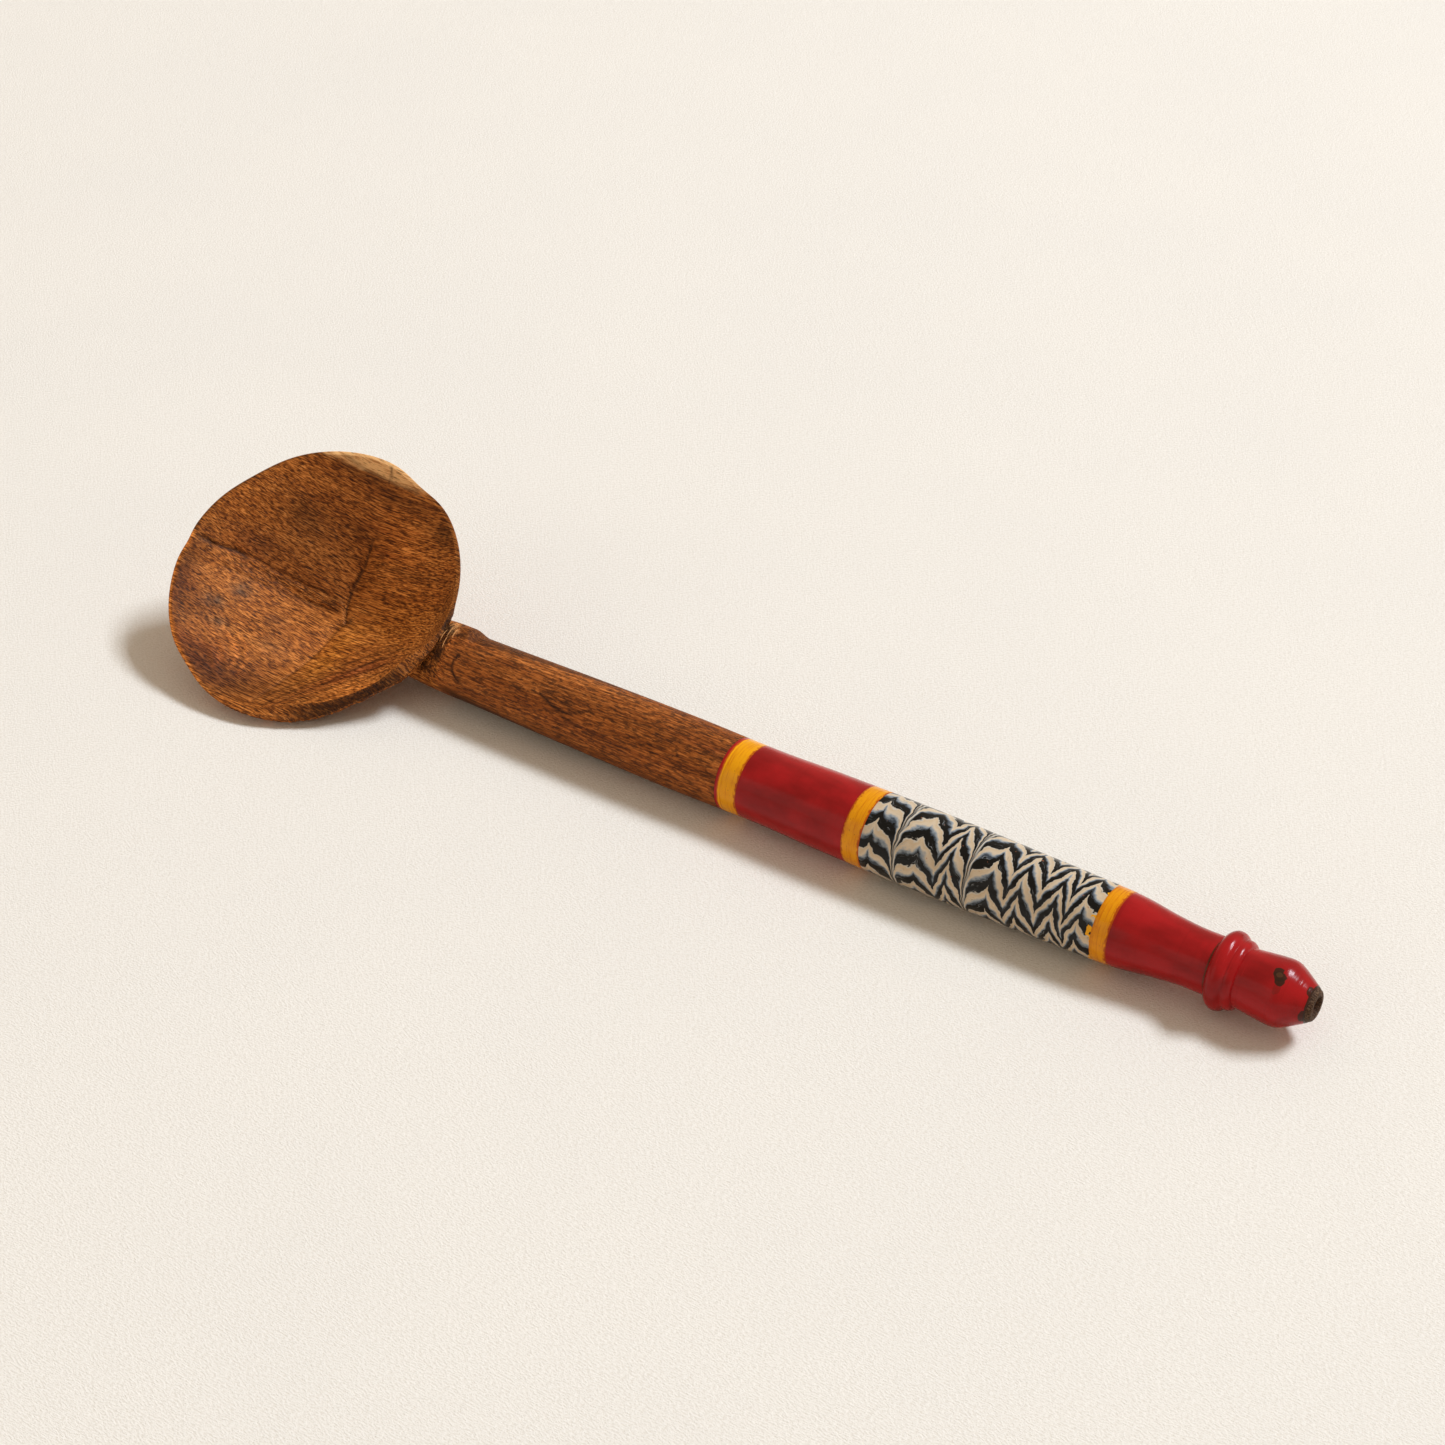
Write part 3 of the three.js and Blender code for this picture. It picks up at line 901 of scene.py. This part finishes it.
class Graph:
    """Short ways to build a material's nodes."""

    def __init__(self, name, roughness=0.5, specular=0.5):
        self.material = bpy.data.materials.new(name)
        self.material.use_nodes = True
        self.tree = self.material.node_tree
        self.shader = self.tree.nodes["Principled BSDF"]
        self.shader.inputs["Roughness"].default_value = roughness
        self.shader.inputs["Specular IOR Level"].default_value = specular
        self.place = None

    def put(self, socket, value):
        if isinstance(value, bpy.types.NodeSocket):
            self.tree.links.new(value, socket)
        elif isinstance(value, tuple) and len(value) == 3 and len(socket.default_value) == 4:
            socket.default_value = (*value, 1)
        else:
            socket.default_value = value

    def add(self, kind, inputs, output=0, **settings):
        """A node with its settings and its inputs, given by name or number."""
        node = self.tree.nodes.new("ShaderNode" + kind)
        for name, value in settings.items():
            setattr(node, name, value)
        for name, value in inputs.items():
            self.put(node.inputs[name], value)
        return node.outputs[output]

    def math(self, operation, *values):
        return self.add("Math", dict(enumerate(values)), operation=operation)

    def times(self, first, second):
        return self.math("MULTIPLY", first, second)

    def plus(self, first, second):
        return self.math("ADD", first, second)

    def minus(self, first, second):
        return self.math("SUBTRACT", first, second)

    def line(self, value, slope, offset):
        return self.math("MULTIPLY_ADD", value, slope, offset)

    def noise(self, sizes, detail=2.0, roughness=0.5):
        """Noise over the graph's place, with features of a size along each axis."""
        parts = {0: self.place, 1: tuple(1 / size for size in sizes)}
        scaled = self.add("VectorMath", parts, operation="MULTIPLY")
        inputs = {"Vector": scaled, "Scale": 1.0, "Detail": detail, "Roughness": roughness}
        return self.add("TexNoise", inputs)

    def spots(self, sizes, low, high, detail=2.0):
        """1 where noise is over high and 0 where it is under low."""
        return self.step(self.noise(sizes, detail), low, high)

    def waver(self, sizes, amount, detail=2.0, roughness=0.5):
        """Noise spread over amount, half of it either side of 0."""
        return self.line(self.noise(sizes, detail, roughness), amount, -amount / 2)

    def ramp(self, value, stops):
        """A colour or a number for each value, from stops of (place, colour or number)."""
        node = self.tree.nodes.new("ShaderNodeValToRGB")
        elements = node.color_ramp.elements
        while len(elements) < len(stops):
            elements.new(0.5)
        for element, (place, color) in zip(elements, stops, strict=True):
            element.position = place
            element.color = (*color, 1) if isinstance(color, tuple) else (color, color, color, 1)
        self.put(node.inputs[0], value)
        return node.outputs[0]

    def step(self, value, low, high):
        """0 under low and 1 over high."""
        inputs = {"Value": value, "From Min": low, "From Max": high}
        return self.add("MapRange", inputs, interpolation_type="SMOOTHSTEP")

    def mix(self, factor, first, second, blend="MIX"):
        node = self.tree.nodes.new("ShaderNodeMix")
        node.data_type = "RGBA"
        node.blend_type = blend
        self.put(node.inputs[0], factor)
        self.put(node.inputs[6], first)
        self.put(node.inputs[7], second)
        return node.outputs[2]

    def tinted(self, color, tint):
        return self.mix(1.0, color, tint, "MULTIPLY")

    def laid(self, color, mask, strength, tint):
        """A colour with a tint laid over it where mask is 1."""
        return self.mix(self.times(mask, strength), color, tint)

    def attribute(self, name):
        return self.add("Attribute", {}, "Fac", attribute_name=name)

    def bump(self, height, strength, distance):
        inputs = {"Height": height, "Strength": strength, "Distance": distance * MM}
        self.put(self.shader.inputs["Normal"], self.add("Bump", inputs))

    def millimetres(self):
        """Places from the neck in millimetres, along the frame's axes."""
        place = self.add("TexCoord", {}, "Object")
        moved = self.add("VectorMath", {0: place, 1: tuple(NECK)}, operation="SUBTRACT")
        return self.add("VectorMath", {0: moved, 1: (1 / MM,) * 3}, operation="MULTIPLY")

    def split(self, vector):
        node = self.tree.nodes.new("ShaderNodeSeparateXYZ")
        self.put(node.inputs[0], vector)
        return tuple(node.outputs)

    def join(self, x, y, z):
        return self.add("CombineXYZ", {0: x, 1: y, 2: z})

    def finished(self, color):
        """The material, once it has its colour."""
        self.put(self.shader.inputs["Base Color"], color)
        return self.material


def wood_material():
    graph = Graph("carved_hardwood", roughness=0.6, specular=0.12)
    x, y, z = graph.split(graph.millimetres())
    across = graph.line(z, math.sin(ROLL), graph.times(y, math.cos(ROLL)))
    depth = graph.line(z, math.cos(ROLL), graph.times(y, -math.sin(ROLL)))
    # The bowl is cut along the grain, so there its marks change little with depth
    depth = graph.times(depth, graph.line(graph.step(x, -4, 6), 0.7, 0.3))
    graph.place = graph.join(x, across, depth)
    # Broad figure, streaks along the grain, fibres and fuzz, each finer than the last
    figure = graph.noise((60, 4.5, 4.5), detail=3)
    streak = graph.noise((20, 0.55, 0.55))
    fibre = graph.noise((5.5, 0.3, 0.3), roughness=0.6)
    fuzz = graph.noise((1.8, 0.24, 0.24), detail=1)
    base = graph.ramp(
        graph.line(streak, 0.5, graph.line(figure, 0.3, 0.1)),
        [(0.39, (0.29, 0.075, 0.010)), (0.5, (0.43, 0.126, 0.018)), (0.61, (0.55, 0.180, 0.031))],
    )
    shade = graph.ramp(
        graph.line(fibre, 0.65, graph.times(fuzz, 0.35)),
        [(0.4, (0.22, 0.18, 0.16)), (0.5, (0.86, 0.85, 0.86)), (0.6, (1.52, 1.68, 2.25))],
    )
    calm = graph.times(graph.step(x, 0, 8), 0.4)
    color = graph.tinted(base, graph.mix(calm, shade, (0.84, 0.83, 0.84)))
    color = graph.tinted(color, graph.ramp(graph.attribute("tone"), [(0.0, 0.2), (0.5, 1.0), (1.0, 1.8)]))
    # Colours laid on by place
    color = graph.mix(graph.attribute("gold"), color, graph.tinted(color, (1.15, 1.2, 0.85)))
    color = graph.laid(color, graph.attribute("red"), 0.8, graph.tinted(color, (0.62, 0.43, 0.6)))
    color = graph.laid(color, graph.attribute("grey"), 0.85, graph.tinted(shade, (0.085, 0.052, 0.027)))
    pale = graph.mix(graph.step(fibre, 0.38, 0.5), (0.56, 0.25, 0.085), (0.86, 0.48, 0.20))
    color = graph.mix(graph.attribute("sap"), color, pale)
    # Open pores, short and dark
    patchy = graph.spots((22, 5, 5), 0.42, 0.54, detail=1)
    pore = graph.times(graph.spots((5.2, 0.32, 0.32), 0.61, 0.67, detail=1), patchy)
    color = graph.laid(color, pore, 0.68, (0.035, 0.010, 0.004))
    fine_pore = graph.spots((1.7, 0.24, 0.3), 0.60, 0.66, detail=1)
    fine_pore = graph.times(fine_pore, graph.step(streak, 0.56, 0.44))
    color = graph.laid(color, fine_pore, 0.6, (0.05, 0.016, 0.006))
    # Torn and hewn places, with painted shade in their crevices
    rough = graph.attribute("rough")
    ragged = graph.noise((2.4, 0.6, 0.6), detail=3, roughness=0.6)
    crevice = graph.times(rough, graph.step(ragged, 0.52, 0.40))
    color = graph.laid(color, crevice, 0.75, (0.03, 0.010, 0.004))
    # Painted shade in the creases, cracks and centre hole
    color = graph.laid(color, graph.attribute("groove_shade"), 0.97, (0.022, 0.007, 0.003))
    graph.put(graph.shader.inputs["Roughness"], graph.line(fibre, 0.25, 0.45))
    height = graph.line(fibre, 0.7, graph.times(streak, 0.5))
    height = graph.minus(height, graph.times(pore, 0.5))
    height = graph.line(graph.times(rough, ragged), 2.5, height)
    graph.bump(height, 0.7, 0.25)
    return graph.finished(color)


RED = (0.37, 0.009, 0.010)
DEEP_RED = (0.23, 0.006, 0.006)
YELLOW = (0.86, 0.37, 0.004)
ORANGE = (0.66, 0.20, 0.002)
BLACK = (0.007, 0.006, 0.005)
WORN_BROWN = (0.035, 0.014, 0.007)


def lac_graph(name):
    """A graph for lac, with distances from the neck, and degrees round the handle from its top."""
    graph = Graph(name, roughness=0.2, specular=0.17)
    graph.place = graph.millimetres()
    x, y, z = graph.split(graph.place)
    angle = graph.math("ARCTAN2", graph.times(y, -1.0), z)
    return graph, x, graph.times(angle, 360 / TAU)


def finished_lac(graph, x, color):
    """The material, faintly wavy from the lathe, with deeper rings on the finial's nose."""
    lathe_marks = graph.noise((0.55, 14, 14))
    rings = graph.line(graph.step(x, 241, 244), 2.9, 0.1)
    speck = graph.noise((0.6, 0.6, 0.6))
    height = graph.line(speck, 0.4, graph.times(lathe_marks, rings))
    graph.bump(height, 0.5, 0.06)
    return graph.finished(color)


def red_line_material(start):
    """A thin red line on the wood, with the yellow of the next ring run over most of it."""
    graph, x, _ = lac_graph("red_line")
    ragged = graph.noise((0.8, 2, 2), detail=3)
    from_start = graph.minus(graph.minus(x, start), graph.times(ragged, 0.7))
    color = graph.mix(graph.step(from_start, 0.25, 0.45), RED, (0.50, 0.07, 0.004))
    color = graph.mix(graph.step(from_start, 0.55, 0.95), color, YELLOW)
    return finished_lac(graph, x, color)


def red_material(name, worn):
    """Plain red lac. worn holds places where it has lost its colour: distance from the neck, degrees round,
    the reach of each, how much is gone, and the colour under it."""
    graph, x, degrees = lac_graph(name)
    cloud = graph.spots((12, 6, 6), 0.35, 0.75, detail=3)
    rings = graph.spots((0.8, 30, 30), 0.55, 0.75)
    color = graph.mix(cloud, RED, DEEP_RED)
    color = graph.laid(color, rings, 0.3, DEEP_RED)
    for along, around, reach, spread, strength, tint in worn:
        away_x = graph.math("DIVIDE", graph.minus(x, along), reach)
        away_round = graph.math("DIVIDE", graph.minus(degrees, around), spread)
        away = graph.plus(graph.math("POWER", away_x, 2.0), graph.math("POWER", away_round, 2.0))
        away = graph.plus(away, graph.waver((1.2, 1.2, 1.2), 1.8, detail=3))
        color = graph.laid(color, graph.step(away, 1.15, 0.85), strength, tint)
    return finished_lac(graph, x, color)


def yellow_material(name, start, end, amber, start_edge):
    """Streaky yellow lac with dark ragged edges. amber is how orange it is and start_edge how dark its edge
    towards the neck is, both from 0 to 1."""
    graph, x, _ = lac_graph(name)
    streaks = graph.noise((0.4, 9, 9), detail=3, roughness=0.65)
    cloud = graph.spots((1.6, 2.5, 2.5), 0.5, 0.75, detail=3)
    color = graph.mix(graph.step(streaks, 0.45, 0.72), YELLOW, ORANGE)
    color = graph.mix(amber, color, graph.tinted(color, (0.74, 0.52, 0.6)))
    color = graph.laid(color, cloud, 0.4, (0.60, 0.15, 0.002))
    wander = graph.waver((0.7, 1.3, 1.3), 2.4, detail=4, roughness=0.65)
    from_start = graph.plus(graph.minus(x, start), wander)
    to_end = graph.minus(graph.minus(end, x), wander)
    for distance, strength in ((from_start, start_edge), (to_end, 0.85)):
        color = graph.laid(color, graph.step(distance, 0.75, 0.15), strength, (0.36, 0.03, 0.003))
    speck = graph.spots((0.5, 0.35, 0.35), 0.72, 0.78, detail=1)
    color = graph.laid(color, speck, 0.7, (0.14, 0.04, 0.003))
    return finished_lac(graph, x, color)


# Strokes of the comb round the handle: distance from the neck, how far each drags the lac in stripes (down
# towards the open side is positive), and how far along the handle it pulls the lac with it
COMB_STROKES = (
    (138.3, -0.42, 0.8),
    (145.0, 1.75, 0.6),
    (151.2, -0.42, 1.6),
    (156.6, 0.75, 1.7),
    (159.9, -1.0, 1.4),
    (164.7, 1.75, 0.6),
    (170.9, -0.6, 1.2),
    (175.7, 0.85, 1.4),
    (178.9, -0.75, 1.3),
    (184.0, 1.0, 1.7),
    (188.2, -0.8, 1.4),
    (191.4, 1.0, 1.2),
    (194.9, -0.7, 1.2),
)
STRIPES_ROUND = 10
STRIPE_PHASE = 0.175  # places a black stripe just past the top
# Places where the comb cut deepest and left a grey line with a pale one beside it
STYLUS_LINES = (145.0, 164.7)
STYLUS_WIDTH = 0.22
YELLOW_STRAYS = 1.3  # how far the yellow of the end ring strays over the combed lac


def combed_material(end):
    graph, x, degrees = lac_graph("lac_black_and_cream_combed")
    bent_x = graph.plus(x, graph.waver((4, 4, 4), 1.6))
    drag = 0.0
    for stroke, amount, reach in COMB_STROKES:
        away = graph.math("ABSOLUTE", graph.minus(bent_x, stroke))
        pull = graph.math("EXPONENT", graph.times(away, -1 / reach))
        drag = graph.line(pull, amount, drag)
    stripe = graph.minus(graph.times(degrees, STRIPES_ROUND / 360), drag)
    waver = graph.noise((3.2, 2.2, 2.2), detail=3, roughness=0.6)
    stripe = graph.plus(stripe, graph.line(waver, 0.6, STRIPE_PHASE - 0.3))
    band = graph.plus(graph.math("FRACT", stripe), graph.waver((5, 4, 4), 0.5))
    color = graph.ramp(
        band,
        [
            (0.0, (0.05, 0.06, 0.075)),
            (0.035, BLACK),
            (0.43, BLACK),
            (0.465, (0.56, 0.50, 0.42)),
            (0.53, (0.56, 0.41, 0.26)),
            (0.76, (0.62, 0.49, 0.35)),
            (0.87, (0.27, 0.30, 0.33)),
            (0.985, (0.05, 0.06, 0.075)),
        ],
    )
    # Fine threads of each colour drawn out along the other
    combed = graph.place
    graph.place = graph.join(stripe, graph.times(x, 0.2), 0.0)
    thread = graph.noise((0.075, 1, 1), roughness=0.6)
    graph.place = combed
    patchy = graph.spots((5, 3, 3), 0.42, 0.62)
    pale_thread = graph.times(graph.step(thread, 0.60, 0.68), patchy)
    color = graph.laid(color, pale_thread, 0.7, (0.36, 0.37, 0.38))
    dark_thread = graph.times(graph.step(thread, 0.36, 0.30), patchy)
    color = graph.laid(color, dark_thread, 0.75, (0.06, 0.06, 0.06))
    for line in STYLUS_LINES:
        away = graph.math("DIVIDE", graph.minus(bent_x, line), STYLUS_WIDTH)
        pale_side = graph.minus(away, 2.4)
        for gap, tint, strength in ((away, (0.07, 0.065, 0.06), 0.85), (pale_side, (0.6, 0.56, 0.5), 0.6)):
            near = graph.math("EXPONENT", graph.times(graph.math("POWER", gap, 2.0), -1.0))
            color = graph.laid(color, near, strength, tint)
    speck = graph.spots((1.1, 0.7, 0.7), 0.76, 0.79, detail=1)
    color = graph.laid(color, speck, 0.6, (0.42, 0.14, 0.07))
    # The yellow of the end ring, strayed over the combed lac
    stray = graph.spots((3, 2.6, 2.6), 0.45, 0.65)
    reached = graph.line(stray, YELLOW_STRAYS, graph.minus(x, end))
    color = graph.mix(graph.step(reached, -0.05, 0.05), color, YELLOW)
    return finished_lac(graph, x, color)


# Where the finial has lost its lac, as red_material takes it
FINIAL_WORN = (
    (243.3, 18, 1.2, 8, 0.95, WORN_BROWN),
    (243.9, 25, 1.5, 9, 0.95, WORN_BROWN),
    (244.4, 33, 1.1, 8, 0.95, WORN_BROWN),
    (243.8, 23, 0.8, 5, 0.7, (0.09, 0.035, 0.015)),
    (244.4, 47, 0.8, 10, 0.3, WORN_BROWN),
    (227.4, 55, 0.45, 85, 0.8, (0.09, 0.03, 0.012)),
    (FINIAL_COAT_END, 0, 0.35, 200, 0.95, WORN_BROWN),
    (FINIAL_COAT_END - 0.5, 15, 0.7, 16, 0.9, WORN_BROWN),
    (FINIAL_COAT_END - 0.5, 95, 0.8, 20, 0.9, WORN_BROWN),
)


def coat_ends():
    """Where each coat starts and ends. Neighbours meet halfway over the gap between their CAD nodes."""
    edges = [along_handle(node) for node in LAC_NODES]
    meets = [(one[1] + other[0]) / 2 for one, other in itertools.pairwise(edges)]
    pairs = zip([edges[0][0], *meets], [*meets, FINIAL_COAT_END], strict=True)
    return dict(zip(LAC_NODES, pairs, strict=True))


spans = coat_ends()


def coat(name, node, slot, material):
    make_coat(name, node, slot, material, *spans[node])


def yellow(name, node, amber, start_edge=0.85):
    coat(name, node, "lac_yellow", yellow_material(name, *spans[node], amber, start_edge))


make_wood(wood_material())
coat("red_line", "lac_line_red", "lac_red", red_line_material(spans["lac_line_red"][0]))
yellow("yellow_ring_neck", "lac_ring_yellow_neck", amber=0.15, start_edge=0)
coat("red_band", "lac_band_red", "lac_red", red_material("red_band", ()))
yellow("yellow_ring_middle", "lac_ring_yellow_middle", amber=0.35)
coat("combed_band", "lac_band_combed", "lac_combed", combed_material(spans["lac_band_combed"][1]))
yellow("yellow_ring_end", "lac_ring_yellow_end", amber=0.5, start_edge=0.3)
coat("red_finial", "lac_finial_red", "lac_red", red_material("red_finial", FINIAL_WORN))


# ---- Stage ----

CAMERA_AZIMUTH = math.radians(34.36)
CAMERA_ELEVATION = math.radians(35)
CAMERA_DISTANCE = 0.791
CAMERA_LENS = 74.74
CAMERA_AIM = Vector((-0.0183, 0.0371, 0))  # from the middle of the ladle's box, on the table

sight = Vector(
    (
        -math.sin(CAMERA_AZIMUTH) * math.cos(CAMERA_ELEVATION),
        math.cos(CAMERA_AZIMUTH) * math.cos(CAMERA_ELEVATION),
        -math.sin(CAMERA_ELEVATION),
    )
)
rightwards = Vector((math.cos(CAMERA_AZIMUTH), math.sin(CAMERA_AZIMUTH), 0))
onwards = Vector((-math.sin(CAMERA_AZIMUTH), math.cos(CAMERA_AZIMUTH), 0))


def set_down(name, data, location, towards):
    """A camera or light at a place, pointed along a direction."""
    made = in_scene(name, data)
    made.location = location
    made.rotation_mode = "QUATERNION"
    made.rotation_quaternion = towards.to_track_quat("-Z", "Y")
    return made


def make_camera():
    data = bpy.data.cameras.new("camera")
    data.lens = CAMERA_LENS
    data.sensor_width = 36
    bpy.context.scene.camera = set_down("camera", data, CAMERA_AIM - sight * CAMERA_DISTANCE, sight)


def add_light(name, right, forward, up, distance, size, power, color):
    """A soft box of a width and height that faces the ladle, placed as seen from the camera."""
    data = bpy.data.lights.new(name, "AREA")
    data.shape = "RECTANGLE"
    data.size, data.size_y = size
    data.energy = power
    data.color = color
    away = (rightwards * right + onwards * forward + Vector((0, 0, up))).normalized()
    set_down(name, data, away * distance, -away)


def cloth_material():
    graph = Graph("pale_cloth", roughness=0.95, specular=0.1)
    graph.place = graph.add("TexCoord", {}, "Object")
    threads = graph.noise((0.0009, 0.0004, 1), detail=3, roughness=0.7)
    cloud = graph.spots((0.09, 0.09, 1), 0.3, 0.7)
    color = graph.mix(cloud, (0.90, 0.838, 0.768), (0.88, 0.822, 0.758))
    color = graph.mix(graph.step(threads, 0.60, 0.32), color, (0.80, 0.73, 0.65))
    graph.bump(threads, 0.9, 0.4)
    return graph.finished(color)


FLOOR_HALF = 9.0


def make_floor():
    mesh = bpy.data.meshes.new("floor")
    corners = [(FLOOR_HALF * x, FLOOR_HALF * y, 0) for x, y in ((-1, -1), (1, -1), (1, 1), (-1, 1))]
    mesh.from_pydata(corners, [], [(0, 1, 2, 3)])
    mesh.materials.append(cloth_material())
    floor = in_scene("floor", mesh)


def make_world():
    """The warm light of the room, from all round."""
    world = bpy.data.worlds.new("studio")
    world.use_nodes = True
    background = world.node_tree.nodes["Background"]
    background.inputs["Color"].default_value = (1, 0.86, 0.68, 1)
    background.inputs["Strength"].default_value = 0.47
    bpy.context.scene.world = world


make_camera()
make_floor()
make_world()
add_light("key", 0.58, 0.17, 0.8, 7.0, (2.5, 1.3), 505, (0.82, 0.91, 1.0))
add_light("left_board", -0.75, -0.5, 0.34, 2.6, (1.6, 1.6), 5.0, (1, 0.95, 0.9))
bpy.context.scene.view_settings.view_transform = "Standard"
